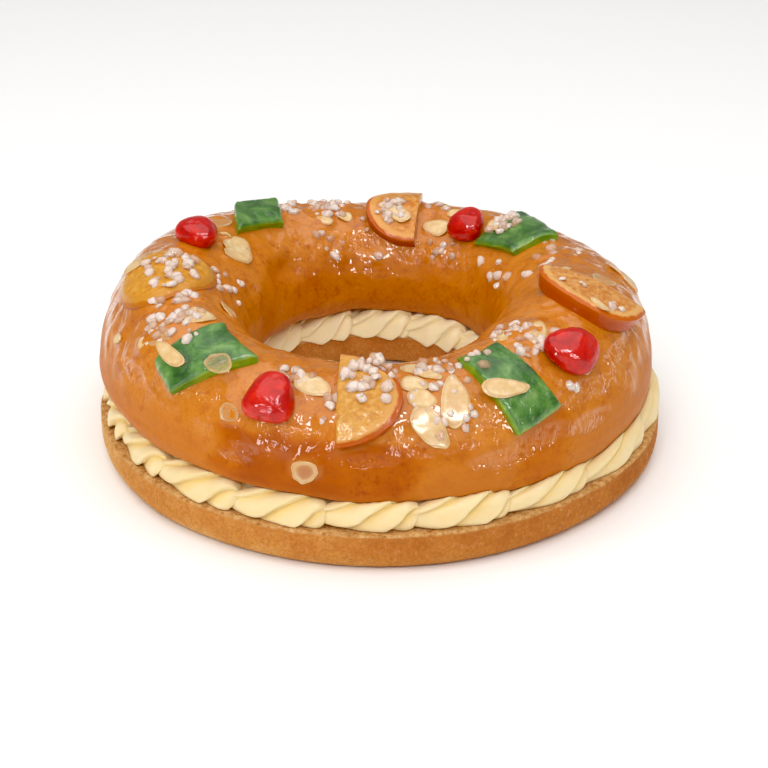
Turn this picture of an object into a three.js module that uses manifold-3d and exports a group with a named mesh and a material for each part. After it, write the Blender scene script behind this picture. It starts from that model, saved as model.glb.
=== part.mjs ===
// A cream-filled ring pastry: a ring of sweet bread cut level into two halves, with shells of piped
// cream between them, and candied fruit, flaked almonds and pearl sugar on its glazed top.
//
// Millimetres, +Z up. The origin is the middle of the ring, at the level that it rests on.
// A place on the bread is given by two angles in degrees. "Around" is seen from above, from +X
// towards +Y. "Over" goes over the dome of the top half: 0 at its widest line outside, 90 at the
// crest, 180 at its widest line inside the hole.

import * as THREE from 'three';
import { mergeVertices } from 'three/addons/utils/BufferGeometryUtils.js';
import Module from 'manifold-3d';

// Driving dimensions. A size that changes on the way round is a mean with four waves: the
// amounts of cos(around), sin(around), cos(2 around) and sin(2 around).
const gap = 0.3;                      // between pieces that touch
const weld = 1e-4;                    // corners nearer than this are one corner

const base = {
  radius: 119, height: 17.2,
  hole: { mean: 59.4, waves: [-4.9, 0.2, 0, 0] },
  footOutside: [8, 9],                // width and height of the rounded lower edge outside
  footInside: [12, 12],               // the same in the hole
  cutEdge: 0.9,                       // rounding of the cut face's edges
  wobble: 0.8,
};

const top = {
  outer: { mean: 116.2, waves: [-1.9, -1.3, 0.3, -1.0] },
  inner: { mean: 52.2, waves: [-3.0, -0.7, -2.9, 3.4] },
  crest: { mean: 74.8, waves: [-1.5, -1.7, 4.4, -1.4] },
  cut: { mean: 27.8, waves: [-2.9, 0, 0, 0] },
  widest: 40.5,                       // height of the widest line
  tuckOutside: 9, tuckInside: 14,     // how far the sides turn in below that line
  tuckPower: 0.7,
  lumps: 0.7,
  dent: { at: [135, 149], wide: 9, deep: 3 },
};

const cream = {
  shells: 18,
  edge: { mean: 117.6, waves: [0.6, 0, 0, 0] },
  inset: 3.2, sag: 3,                 // how far the shells stand out into the hole, and hang there
  ridges: 3,                          // in one shell
  shellGroove: 5.0, ridgeGroove: 2.1, // depth of the grooves outside
  tail: { deep: 2.2, share: 0.5 },    // how much thinner a shell starts, and over how much of it
  innerShare: 0.75,                   // of those depths, on the side of the hole
  lean: 0.34,                         // of a shell's length, from the bottom of a ridge to its top
  unevenLength: 0.22, unevenDepth: 0.25,
};

// Toppings go a little below the dome before they are cut to it, and their top edge is lower than
// their middle by "rim".
const topping = { below: 1.5, rim: 0.9 };

// Candied cherries. "lobes" are their two kinds of dents, as shares of their size, and "lift" is
// how high their middle lies, as a share of their height.
const cherryShape = { lobes: [0.07, 0.05], lift: 0.3, hug: 0.2 };
const cherries = [
  { at: [162.5, 95], size: [20, 18, 13], turn: 20 },
  { at: [247, 49], size: [22, 23, 13], turn: 60 },
  { at: [57.5, 112], size: [17, 17, 13], turn: 0 },
  { at: [317.5, 56], size: [25, 20, 14], turn: -20 },
];

// Candied melon, cut in slabs: the corners' places on the dome, in order round each slab.
const slabs = [
  { corners: [[134, 79], [121.5, 87], [128, 116.5], [148, 110.5]], thick: 4.5 },
  { corners: [[223, 97], [239, 82], [225, 31], [217, 42]], thick: 4.5 },
  { corners: [[48, 72], [26, 83], [27, 122], [50, 127]], thick: 4 },
  { corners: [[290, 83], [302, 87], [308, 30], [297, 21]], thick: 4.5 },
];

// Candied orange: "at" is the middle of a half slice's cut side, or of a whole slice. "size" is
// half of its length and how far it bulges from there.
const slices = [
  { at: [77, 103], size: [18, 24], thick: 6, half: true, turn: 276, hug: 0.7 },
  { at: [345, 74], size: [23, 23], thick: 6, half: true, turn: 90, hug: 0.5 },
  { at: [189, 84], size: [22, 22], thick: 3, half: false, turn: 0, hug: 0.85 },
  { at: [261, 60], size: [21, 25], thick: 4.5, half: true, turn: 276, hug: 0.6 },
];

// Flaked almonds. "at" is a place on the dome, or with "on" it is in millimetres from the middle
// of the piece of that name.
const almond = { thick: 1.4, sides: 7, sunk: 0.45, taper: 0.22, hug: 0.9 };
const almonds = [
  { at: [147, 90], size: [14, 10], turn: 0 },
  { at: [158, 124], size: [15, 11], turn: -25 },
  { at: [154, 118], size: [14, 11], turn: -17 },
  { at: [152.5, 106], size: [6, 5], turn: -20 },
  { at: [215, 110], size: [13, 11], turn: 70 },
  { at: [205, 128], size: [12, 9], turn: -10 },
  { at: [212, 65], size: [13, 11], turn: 29 },
  { at: [209, 47], size: [6, 5], turn: 56 },
  { at: [254.5, 96], size: [9, 6], turn: 10 },
  { at: [239, 34], size: [9, 6], turn: -8 },
  { at: [199, 34], size: [7, 4], turn: 30 },
  { at: [110, 114], size: [8, 5], turn: -20 },
  { at: [102, 110], size: [7, 6], turn: -7 },
  { at: [70, 126], size: [13, 8], turn: 5 },
  { at: [66, 94], size: [7, 6], turn: 31 },
  { at: [358, 100], size: [11, 6], turn: 60 },
  { at: [354, 68], size: [11, 9], turn: -76 },
  { at: [6, 48], size: [17, 8], turn: 67 },
  { at: [316, 82], size: [14, 9], turn: 27 },
  { at: [308.5, 97], size: [9, 6], turn: 60 },
  { at: [280, 84], size: [20, 7], turn: -48 },
  { at: [278, 70], size: [12, 8], turn: -28 },
  { at: [286, 54], size: [23, 11], turn: 80 },
  { at: [280, 36], size: [20, 11], turn: -53 },
  { at: [279, 57], size: [12, 8], turn: -22 },
  { at: [256, 5], size: [11, 9], turn: 25 },
  { at: [-4, 10], size: [16, 7], turn: 62, on: 'orange_slice_1' },
  { at: [-5.5, 19], size: [9, 4], turn: -7, on: 'orange_slice_2' },
  { at: [-11, -13], size: [9, 7], turn: -63, on: 'orange_slice_3' },
  { at: [9, -6.5], size: [17, 8], turn: 106, on: 'melon_slab_2' },
  { at: [-1, 8], size: [11, 9], turn: 83, on: 'melon_slab_2' },
  { at: [2, -5.5], size: [18, 7], turn: 66, on: 'melon_slab_4' },
];

// Pearl sugar lies in drifts: a drift's middle, its half width both ways in millimetres, and how
// many grains it has. "at" and "on" are as for the almonds.
const sugar = {
  small: 1.3, large: 2.3,             // radius of a grain
  stretch: [[0.8, 1.2], [0.8, 1.1], [0.7, 1]],
  sunk: 0.25,                         // how high a grain's middle lies, as a share of its radius
  clear: 3.6,                         // between a grain on the bread and a topping's corners
  seed: 37,
};
const drifts = [
  { at: [108, 92], half: [15, 9], grains: 11 },
  { at: [211, 78], half: [15, 13], grains: 12 },
  { at: [311, 84], half: [9, 15], grains: 9 },
  { at: [271, 84], half: [6, 7], grains: 3 },
  { at: [284, 62], half: [12, 20], grains: 7 },
  { at: [8, 113], half: [6, 6], grains: 5 },
  { at: [250, 80], half: [7, 12], grains: 5 },
  { at: [318, 36], half: [12, 4], grains: 4 },
  { at: [68, 134], half: [9, 6], grains: 4 },
  { at: [182, 132], half: [8, 8], grains: 3 },
  { at: [30, 140], half: [12, 6], grains: 3 },
  { at: [3, 2], half: [14, 15], grains: 6, on: 'orange_slice_3' },
  { at: [-2, 12], half: [7, 6], grains: 5, on: 'orange_slice_1' },
  { at: [0, 12], half: [10, 4], grains: 2, on: 'orange_slice_2' },
  { at: [-4, 11], half: [12, 7], grains: 7, on: 'orange_slice_4' },
  { at: [2, -9], half: [9, 5], grains: 5, on: 'melon_slab_3' },
  { at: [-12, -5], half: [4, 4], grains: 2, on: 'melon_slab_4' },
];

// How finely the curved pieces are divided.
const steps = { baseAround: 44, topAround: 54, domeOver: 13, corner: 3, topping: 5 };

const finish = {
  bread: { color: 0xc98647, roughness: 0.6, metalness: 0 },
  glazed: { color: 0xc8782f, roughness: 0.3, metalness: 0 },
  cream: { color: 0xf3e2a4, roughness: 0.55, metalness: 0 },
  cherry: { color: 0xc81e12, roughness: 0.15, metalness: 0 },
  melon: { color: 0x3f7a3a, roughness: 0.2, metalness: 0 },
  orange: { color: 0xd9822b, roughness: 0.25, metalness: 0 },
};

const wasm = await Module();
wasm.setup();

const degrees = THREE.MathUtils.degToRad;
const { lerp } = THREE.MathUtils;

const swing = ({ mean, waves }, around) => mean
  + waves[0] * Math.cos(around) + waves[1] * Math.sin(around)
  + waves[2] * Math.cos(2 * around) + waves[3] * Math.sin(2 * around);

const polar = (radius, around, height) =>
  new THREE.Vector3(radius * Math.cos(around), radius * Math.sin(around), height);

// A repeatable run of numbers from 0 to 1.
function seeded(seed) {
  let state = seed;
  return () => {
    state = (state * 16807) % 2147483647;
    return state / 2147483647;
  };
}

// Joining and cutting.
function toSolid(geometry) {
  const bare = geometry.clone();
  bare.deleteAttribute('normal');
  bare.deleteAttribute('uv');
  const merged = mergeVertices(bare, weld);
  return new wasm.Manifold(new wasm.Mesh({
    numProp: 3,
    vertProperties: new Float32Array(merged.attributes.position.array),
    triVerts: new Uint32Array(merged.index.array),
  }));
}

function toGeometry(solid) {
  const { vertProperties, triVerts } = solid.getMesh();
  const geometry = new THREE.BufferGeometry();
  geometry.setAttribute('position', new THREE.BufferAttribute(vertProperties, 3));
  geometry.setIndex(new THREE.BufferAttribute(triVerts, 1));
  geometry.computeVertexNormals();
  return geometry;
}

const joined = (solids) => solids.reduce((whole, solid) => whole.add(solid));

// Moves each corner of a geometry to where moved() puts it.
function reshaped(geometry, moved) {
  const { position } = geometry.attributes;
  const point = new THREE.Vector3();
  for (let i = 0; i < position.count; i++) {
    point.fromBufferAttribute(position, i);
    const place = moved(point);
    position.setXYZ(i, place.x, place.y, place.z);
  }
  return geometry;
}

// A closed ring whose section at each angle is a list of [radius, height] points, in the order
// outside, top, inside, bottom. A plain torus gives its faces.
function ringOf(aroundSteps, sectionAt, turnAt = (around) => around) {
  const count = sectionAt(0, 0).length;
  const torus = new THREE.TorusGeometry(2, 1, count, aroundSteps);
  return reshaped(torus, (point) => {
    const column = Math.round(Math.atan2(point.y, point.x) / (2 * Math.PI) * aroundSteps);
    const wrapped = (column + aroundSteps) % aroundSteps;
    const across = Math.hypot(point.x, point.y) - 2;
    const row = (Math.round(Math.atan2(point.z, across) / (2 * Math.PI) * count) + count) % count;
    const around = turnAt(wrapped / aroundSteps * 2 * Math.PI, wrapped, row);
    const [radius, height] = sectionAt(around, wrapped)[row];
    return polar(radius, around, height);
  });
}

// The lower half of the bread: a flat-topped ring with rounded feet.
function baseSection(around) {
  const waves = base.wobble * Math.sin(2 * around) * Math.sin(3 * around + 1);
  const outer = base.radius - Math.abs(waves);
  const inner = swing(base.hole, around);
  const [outWide, outHigh] = base.footOutside;
  const [inWide, inHigh] = base.footInside;
  const foot = (edge, wide, high, side) => (angle) =>
    [edge - side * wide * (1 - Math.cos(angle)), high * (1 - Math.sin(angle))];
  const outFoot = foot(outer, outWide, outHigh, 1);
  const inFoot = foot(inner, inWide, inHigh, -1);
  const turn = (step) => Math.PI / 2 * step / steps.corner;
  const section = [
    [outer, base.height - base.cutEdge], [outer - base.cutEdge, base.height],
    [inner + base.cutEdge, base.height], [inner, base.height - base.cutEdge],
  ];
  for (let step = 0; step <= steps.corner; step++) section.push(inFoot(turn(step)));
  for (let step = steps.corner; step >= 0; step--) section.push(outFoot(turn(step)));
  return section;
}

// A place on the dome of the top half, or lift above it.
function dome(around, over, lift = 0) {
  const outer = swing(top.outer, around);
  const inner = swing(top.inner, around);
  const uneven = top.lumps * Math.sin(over)
    * (Math.sin(5 * around + 2 * over) + Math.sin(3 * around - 3 * over + 2));
  const [dentAround, dentOver] = top.dent.at.map(degrees);
  const away = Math.hypot(around - dentAround, over - dentOver) / degrees(top.dent.wide);
  const rise = lift + uneven - top.dent.deep * Math.exp(-away * away);
  const halfWidth = (outer - inner) / 2 + rise;
  const height = swing(top.crest, around) - top.widest + rise;
  return polar(
    (outer + inner) / 2 + halfWidth * Math.cos(over), around, top.widest + height * Math.sin(over));
}

// The side below the widest line, at a share from 0 there to 1 at the cut.
function tuck(around, share, side) {
  const turn = share * Math.PI / 2;
  const inwards = 1 - Math.max(Math.cos(turn), 0) ** top.tuckPower;
  const edge = side > 0
    ? swing(top.outer, around) - top.tuckOutside * inwards
    : swing(top.inner, around) + top.tuckInside * inwards;
  return [edge, lerp(top.widest, swing(top.cut, around), Math.sin(turn))];
}

function topSection(around, lift = 0) {
  const section = [];
  for (let step = 0; step <= steps.domeOver; step++) {
    const point = dome(around, Math.PI * step / steps.domeOver, lift);
    section.push([Math.hypot(point.x, point.y), point.z]);
  }
  for (let step = 1; step <= steps.corner; step++) {
    section.push(tuck(around, step / steps.corner, -1));
  }
  for (let step = steps.corner; step >= 1; step--) {
    section.push(tuck(around, step / steps.corner, 1));
  }
  return section;
}

// Height of the top half's underside at a radius, for the cream to stay below.
function undersideAt(around, radius, side) {
  const [cutRadius, cutHeight] = tuck(around, 1, side);
  const past = side * (radius - cutRadius);
  if (past <= 0) return cutHeight;
  const reach = side > 0 ? top.tuckOutside : top.tuckInside;
  const cosine = Math.min(past / reach, 1) ** (1 / top.tuckPower);
  return lerp(top.widest, cutHeight, Math.sqrt(1 - cosine * cosine));
}

// Piped cream. Each shell is a fan of ridges that starts thin at its tail and ends in a fat head,
// and the columns of the ring's faces run along the ridges and the grooves between them.
const columnsInShell = 2 * cream.ridges + 1;
const creamColumns = cream.shells * columnsInShell;
const shellDraws = (() => {
  const draw = seeded(7);
  return Array.from({ length: cream.shells }, () => ({
    start: cream.unevenLength * (draw() - 0.5),
    depth: 1 + cream.unevenDepth * (draw() - 0.5),
  }));
})();

// The angle at which a column meets the base.
function columnAround(column) {
  const shell = Math.floor(column / columnsInShell);
  const next = (shell + 1) % cream.shells;
  const along = (column % columnsInShell) / columnsInShell;
  const start = shell + shellDraws[shell % cream.shells].start;
  const end = shell + 1 + shellDraws[next].start;
  return lerp(start, end, along) * 2 * Math.PI / cream.shells;
}

// How far the cream draws back from its fattest edge at a column.
function groove(column) {
  const inShell = column % columnsInShell;
  const { depth } = shellDraws[Math.floor(column / columnsInShell) % cream.shells];
  if (inShell === 0) return cream.shellGroove * depth;
  const along = inShell / columnsInShell;
  const tail = cream.tail.deep * Math.max(0, cream.tail.share - along);
  const crest = inShell % 2 === 1;
  return tail + (crest ? 0 : cream.ridgeGroove * depth);
}

// Rows of the cream's section: the share of its height, and how far it draws in there, outside
// and on the side of the hole.
const creamRows = [[0, 1.6, 0.6], [0.2, 0.4, 0], [0.62, 0, 0], [1.1, 2.6, 2.6], [1, 9, 9]];

function creamSection(around, column) {
  const low = base.height + gap;
  const back = groove(column);
  const outer = swing(cream.edge, around) - back;
  const inner = swing(base.hole, around) - cream.inset + back * cream.innerShare;
  const side = (edge, direction) => creamRows.map(([share, outside, inside]) => {
    const radius = edge - direction * (direction > 0 ? outside : inside);
    const roof = undersideAt(around, radius, direction) - 2 * gap;
    const cut = swing(top.cut, around) - gap;
    const height = share === 1 ? cut - gap : Math.min(lerp(low, cut, share), roof);
    return [radius, height];
  });
  // The lowest row in the hole hangs past the base's edge, and one more row clears that edge.
  const inside = side(inner, -1);
  const edge = swing(base.hole, around) + base.cutEdge - 2 * gap;
  const lowest = Math.min(inside[0][0], edge - gap);
  inside[0] = [lowest, low - Math.min(edge - lowest, cream.sag)];
  return [...side(outer, 1), ...inside.reverse(), [edge, low]];
}

// A ridge leans to the right on its way up, whether it is seen from outside or across the hole.
function creamRing() {
  const leanBy = cream.lean * 2 * Math.PI / cream.shells;
  const up = creamRows.map(([share]) => leanBy * Math.min(share, 1));
  const leans = [...up, ...up.map((lean) => -lean).reverse(), 0];
  return ringOf(creamColumns, creamSection, (around, column, row) => columnAround(column) + leans[row]);
}

// The frame of a place on the dome: its point, the ways around and over, and its normal.
function spotAt([around, over]) {
  const [a, o] = [degrees(around), degrees(over)];
  const nudge = 0.01;
  const point = dome(a, o);
  const alongAround = dome(a + nudge, o).sub(dome(a - nudge, o));
  const alongOver = dome(a, o + nudge).sub(dome(a, o - nudge));
  const aroundRate = alongAround.length() / (2 * nudge);
  const overRate = alongOver.length() / (2 * nudge);
  alongAround.normalize();
  const normal = new THREE.Vector3().crossVectors(alongAround, alongOver).normalize();
  if (normal.z * Math.sin(o) < 0) normal.negate();
  const overWay = new THREE.Vector3().crossVectors(normal, alongAround);
  if (overWay.dot(alongOver) < 0) overWay.negate();
  return { a, o, point, alongAround, overWay, normal, aroundRate, overRate };
}

// Lays a flat piece's point on the dome. hug is 0 for a stiff piece and 1 for one that follows it.
function laid(spot, turn, hug, { x, y, z }) {
  const [cosine, sine] = [Math.cos(degrees(turn)), Math.sin(degrees(turn))];
  const across = x * cosine - y * sine;
  const along = x * sine + y * cosine;
  const stiff = spot.point.clone()
    .addScaledVector(spot.alongAround, across)
    .addScaledVector(spot.overWay, along)
    .addScaledVector(spot.normal, z);
  const bent = dome(spot.a + across / spot.aroundRate, spot.o + along / spot.overRate, z);
  return stiff.lerp(bent, hug);
}

// A topping is its shape, and the surface on top of it: a function from millimetres across it
// and above it to a point.
function cherry({ at, size: [wide, long, high], turn }) {
  const spot = spotAt(at);
  const shape = reshaped(new THREE.SphereGeometry(1, 10, 7), ({ x, y, z }) => {
    const angle = Math.atan2(y, x);
    const [round, twisted] = cherryShape.lobes;
    const swell = (1 + round * Math.sin(3 * angle) + twisted * Math.sin(2 * angle + 1) * z) / 2;
    return laid(spot, turn, cherryShape.hug, {
      x: x * wide * swell, y: y * long * swell, z: high * (z / 2 + cherryShape.lift),
    });
  });
  return { shape };
}

function slab({ corners, thick }) {
  const placed = (x, y, lift) => {
    const [around, over] = [0, 1].map((k) => degrees(lerp(
      lerp(corners[0][k], corners[1][k], y + 0.5), lerp(corners[3][k], corners[2][k], y + 0.5),
      x + 0.5)));
    return dome(around, over, lift);
  };
  const box = new THREE.BoxGeometry(1, 1, 1, steps.topping + 1, steps.topping - 2, 1);
  const shape = reshaped(box, ({ x, y, z }) => {
    const atEdge = Math.max(Math.abs(x), Math.abs(y)) > 0.49;
    return placed(x, y, z > 0 ? thick - atEdge * topping.rim : -topping.below);
  });
  const long = placed(-0.5, 0, 0).distanceTo(placed(0.5, 0, 0));
  const wide = placed(0, -0.5, 0).distanceTo(placed(0, 0.5, 0));
  return { shape, surface: (x, y, lift) => placed(x / long, y / wide, thick + lift) };
}

function slice({ at, size: [long, wide], thick, half, turn, hug }) {
  const spot = spotAt(at);
  const rows = half ? steps.topping - 2 : steps.topping;
  const box = new THREE.BoxGeometry(2, half ? 1 : 2, 1, steps.topping + 1, rows, 1);
  const shape = reshaped(box, ({ x, y, z }) => {
    const v = half ? y + 0.5 : y;
    const flat = new THREE.Vector2(x * Math.sqrt(1 - v * v / 2), v * Math.sqrt(1 - x * x / 2));
    const atEdge = flat.length() > 0.97;
    const height = z > 0 ? thick - atEdge * topping.rim : -topping.below;
    return laid(spot, turn, hug, { x: flat.x * long, y: flat.y * wide, z: height });
  });
  return { shape, surface: (x, y, lift) => laid(spot, turn, hug, { x, y, z: thick + lift }) };
}

function flake({ size: [long, wide] }, surface) {
  const disc = new THREE.CylinderGeometry(0.5, 0.5, almond.thick, almond.sides);
  return reshaped(disc, ({ x, y, z }) =>
    surface(x * long, -z * wide * (1 - 2 * almond.taper * x), y + almond.thick * (0.5 - almond.sunk)));
}

function grain(middle, size, draw) {
  const turned = new THREE.Euler(...[draw(), draw(), draw()].map((share) => share * 2 * Math.PI));
  const shape = new THREE.Vector3(...sugar.stretch.map(([least, most]) => lerp(least, most, draw())));
  return reshaped(new THREE.IcosahedronGeometry(size, 0), (point) =>
    point.clone().multiply(shape).applyEuler(turned).add(middle));
}

// The toppings, cut to fit the bread under them.
const grownTop = toSolid(ringOf(steps.topAround, (around) => topSection(around, gap)));
const toppings = new Map();

function addToppings(name, list, made, look) {
  list.forEach((piece, index) => {
    const { shape, surface } = made(piece);
    const solid = toSolid(shape).subtract(grownTop);
    toppings.set(`${name}_${index + 1}`, { solid, shape, surface, look });
  });
}

addToppings('cherry', cherries, cherry, finish.cherry);
addToppings('melon_slab', slabs, slab, finish.melon);
addToppings('orange_slice', slices, slice, finish.orange);

// Whether a place on the bread is free of toppings, so that a grain there touches none.
function isFree(place) {
  const point = new THREE.Vector3();
  for (const { shape } of toppings.values()) {
    const { position } = shape.attributes;
    for (let i = 0; i < position.count; i++) {
      if (point.fromBufferAttribute(position, i).distanceTo(place) < sugar.clear) return false;
    }
  }
  return true;
}

// The surface round a place: of the bread, or of a topping, turned to suit what lies there.
function surfaceRound({ at, turn = 0, on }) {
  if (!on) {
    const spot = spotAt(at);
    return (x, y, lift) => laid(spot, turn, almond.hug, { x, y, z: lift });
  }
  const [cosine, sine] = [Math.cos(degrees(turn)), Math.sin(degrees(turn))];
  return (x, y, lift) => toppings.get(on).surface(
    at[0] + x * cosine - y * sine, at[1] + x * sine + y * cosine, lift);
}

// Almonds and sugar, gathered for the bread and for each topping that carries some.
const scattered = new Map();

function scatter(name, geometry) {
  const key = name ?? 'top_bread';
  if (!scattered.has(key)) scattered.set(key, []);
  scattered.get(key).push(toSolid(geometry));
}

for (const piece of almonds) scatter(piece.on, flake(piece, surfaceRound(piece)));

const draw = seeded(sugar.seed);
for (const drift of drifts) {
  const surface = surfaceRound(drift);
  for (let i = 0; i < drift.grains; i++) {
    const [angle, out] = [draw() * 2 * Math.PI, Math.sqrt(draw())];
    const [x, y] = [drift.half[0] * out * Math.cos(angle), drift.half[1] * out * Math.sin(angle)];
    const size = lerp(sugar.small, sugar.large, draw());
    const one = grain(surface(x, y, size * sugar.sunk), size, draw);
    if (drift.on || isFree(surface(x, y, 0))) scatter(drift.on, one);
  }
}

const pastry = new THREE.Group();

function addPiece(name, geometry, look) {
  const mesh = new THREE.Mesh(geometry, new THREE.MeshStandardMaterial(look));
  mesh.name = name;
  pastry.add(mesh);
}

addPiece('base_bread', toGeometry(toSolid(ringOf(steps.baseAround, baseSection))), finish.bread);
addPiece('piped_cream', toGeometry(toSolid(creamRing())), finish.cream);

const topBread = toSolid(ringOf(steps.topAround, (around) => topSection(around)));
addPiece('top_bread', toGeometry(topBread.add(joined(scattered.get('top_bread')))), finish.glazed);

for (const [name, { solid, look }] of toppings) {
  const extras = scattered.get(name) ?? [];
  addPiece(name, toGeometry(joined([solid, ...extras])), look);
}

export default pastry;
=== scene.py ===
import math
import random
from functools import partial

import bmesh
import bpy
from mathutils import Euler, Matrix, Vector, kdtree, noise


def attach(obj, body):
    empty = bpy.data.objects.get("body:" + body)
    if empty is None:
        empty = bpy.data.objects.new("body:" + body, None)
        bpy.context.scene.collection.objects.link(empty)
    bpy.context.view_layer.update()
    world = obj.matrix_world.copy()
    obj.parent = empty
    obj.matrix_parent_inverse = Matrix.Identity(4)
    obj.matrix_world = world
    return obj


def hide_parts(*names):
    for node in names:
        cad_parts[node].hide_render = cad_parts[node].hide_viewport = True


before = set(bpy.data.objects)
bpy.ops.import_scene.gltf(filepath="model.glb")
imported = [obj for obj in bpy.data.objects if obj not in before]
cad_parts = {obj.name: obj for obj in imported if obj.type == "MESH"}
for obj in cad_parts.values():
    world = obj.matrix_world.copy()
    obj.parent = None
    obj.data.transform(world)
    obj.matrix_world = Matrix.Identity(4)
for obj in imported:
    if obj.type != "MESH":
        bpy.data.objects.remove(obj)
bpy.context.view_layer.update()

# A ring of sweet bread filled with piped cream, with candied fruit, almonds and sugar on top.
# Sizes are in millimetres and turn to metres as each mesh is finished. A place on the bread is
# two angles in degrees: "around", seen from above, from +X towards +Y, and "over" the dome of the
# top half, 0 at its widest line outside, 90 at the crest and 180 at its widest line in the hole.
mm = 0.001
fullTurn = 2 * math.pi


# The bread's driving sizes. One that changes on the way round is a mean with the amounts of
# cos(around), sin(around), cos(2 around) and sin(2 around).
bread = {
    "baseRadius": 119, "baseHeight": 17.2, "baseHole": (59.4, -4.9, 0.2, 0, 0),
    "outer": (116.2, -1.9, -1.3, 0.3, -1.0),
    "inner": (52.2, -3.0, -0.7, -2.9, 3.4),
    "crest": (74.8, -1.5, -1.7, 4.4, -1.4),
    "cut": (27.8, -2.9, 0, 0, 0),
    "widest": 40.5, "tuckOutside": 9, "tuckInside": 14, "tuckPower": 0.7,
    "lumps": 0.7, "edgeWavy": 0.9, "dentAt": (135, 149), "dentWide": 9, "dentDeep": 3,
}


def lerp(low, high, share):
    return low + (high - low) * share


def smooth(low, high, value):
    share = min(max((value - low) / (high - low), 0), 1)
    return share * share * (3 - 2 * share)


def apart(first, second):  # degrees between two directions
    return abs((first - second + 180) % 360 - 180)


def swing(amounts, around):
    mean, cosine, sine, cosine2, sine2 = amounts
    return (mean + cosine * math.cos(around) + sine * math.sin(around)
            + cosine2 * math.cos(2 * around) + sine2 * math.sin(2 * around))


def polar(radius, around, height):
    return Vector((radius * math.cos(around), radius * math.sin(around), height))


def dome(around, over, lift=0):  # a place on the top half's dome, in radians, or lift above it
    outer, inner = swing(bread["outer"], around), swing(bread["inner"], around)
    uneven = bread["lumps"] * math.sin(over) * (
        math.sin(5 * around + 2 * over) + math.sin(3 * around - 3 * over + 2))
    dentAround, dentOver = (math.radians(angle) for angle in bread["dentAt"])
    away = math.hypot(around - dentAround, over - dentOver) / math.radians(bread["dentWide"])
    rise = lift + uneven - bread["dentDeep"] * math.exp(-away * away)
    halfWidth = (outer - inner) / 2 + rise
    height = swing(bread["crest"], around) - bread["widest"] + rise
    return polar((outer + inner) / 2 + halfWidth * math.cos(over), around,
                 bread["widest"] + height * math.sin(over))


def tuck(around, share, side):  # below the widest line: share is 0 there and 1 at the cut
    turn = share * math.pi / 2
    inwards = 1 - max(math.cos(turn), 0) ** bread["tuckPower"]
    if side > 0:
        edge = swing(bread["outer"], around) - bread["tuckOutside"] * inwards
    else:
        edge = swing(bread["inner"], around) + bread["tuckInside"] * inwards
    wavy = bread["edgeWavy"] * (math.sin(9 * around + side) + math.sin(14 * around + 2)) / 2
    return edge, lerp(bread["widest"], swing(bread["cut"], around) + wavy, math.sin(turn))


def underside(around, radius, side):  # height of the top half's underside at a radius
    cutRadius, cutHeight = tuck(around, 1, side)
    past = side * (radius - cutRadius)
    if past <= 0:
        return cutHeight
    reach = bread["tuckOutside"] if side > 0 else bread["tuckInside"]
    cosine = min(past / reach, 1) ** (1 / bread["tuckPower"])
    return lerp(bread["widest"], cutHeight, math.sqrt(1 - cosine * cosine))


def spotAt(place):  # a place on the dome with its directions around, over and outwards
    around, over = (math.radians(angle) for angle in place)
    nudge = 0.01
    alongAround = dome(around + nudge, over) - dome(around - nudge, over)
    alongOver = dome(around, over + nudge) - dome(around, over - nudge)
    rates = (alongAround.length / (2 * nudge), alongOver.length / (2 * nudge))
    alongAround.normalize()
    out = alongAround.cross(alongOver).normalized()
    if out.z * math.sin(over) < 0:
        out.negate()
    overWay = out.cross(alongAround)
    if overWay.dot(alongOver) < 0:
        overWay.negate()
    return around, over, dome(around, over), alongAround, overWay, out, rates


def laid(spot, turn, hug, x, y, z):  # a flat thing's point on the dome; hug is 0 stiff, 1 draped
    around, over, point, alongAround, overWay, out, rates = spot
    cosine, sine = math.cos(math.radians(turn)), math.sin(math.radians(turn))
    across, along = x * cosine - y * sine, x * sine + y * cosine
    stiff = point + alongAround * across + overWay * along + out * z
    return stiff.lerp(dome(around + across / rates[0], over + along / rates[1], z), hug)


def signedPower(value, power):
    return math.copysign(abs(value) ** power, value)


# Making meshes.
def layersOf(bm, *names):  # numbers kept on each vertex, which the material reads by name
    return [bm.verts.layers.float.new(name) for name in names]


def moveAll(bm, moved):
    for vert in bm.verts:
        vert.co = moved(vert)


def ringMesh(rows, stepsAround):  # a closed ring; each vertex knows its row
    bm = bmesh.new()
    rowOf = bm.verts.layers.float.new("row")
    upright = Matrix.Translation((2, 0, 0)) @ Matrix.Rotation(math.pi / 2, 4, "X")
    circle = bmesh.ops.create_circle(bm, segments=rows, radius=1, matrix=upright)["verts"]
    for row, vert in enumerate(circle):
        vert[rowOf] = row
    bmesh.ops.spin(bm, geom=bm.verts[:] + bm.edges[:], cent=(0, 0, 0), axis=(0, 0, 1),
                   angle=fullTurn, steps=stepsAround, use_merge=True)
    bmesh.ops.remove_doubles(bm, verts=bm.verts, dist=1e-5)
    return bm, rowOf


def ballMesh(across, down):
    bm = bmesh.new()
    bmesh.ops.create_uvsphere(bm, u_segments=across, v_segments=down, radius=1)
    return bm


def blockMesh(cuts):  # a cube from -0.5 to 0.5, each side in a grid
    bm = bmesh.new()
    bmesh.ops.create_cube(bm, size=1)
    bmesh.ops.subdivide_edges(bm, edges=bm.edges, cuts=cuts, use_grid_fill=True)
    return bm


def joinMesh(bm, other):
    mesh = bpy.data.meshes.new("part")
    other.to_mesh(mesh)
    other.free()
    bm.from_mesh(mesh)
    bpy.data.meshes.remove(mesh)


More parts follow.
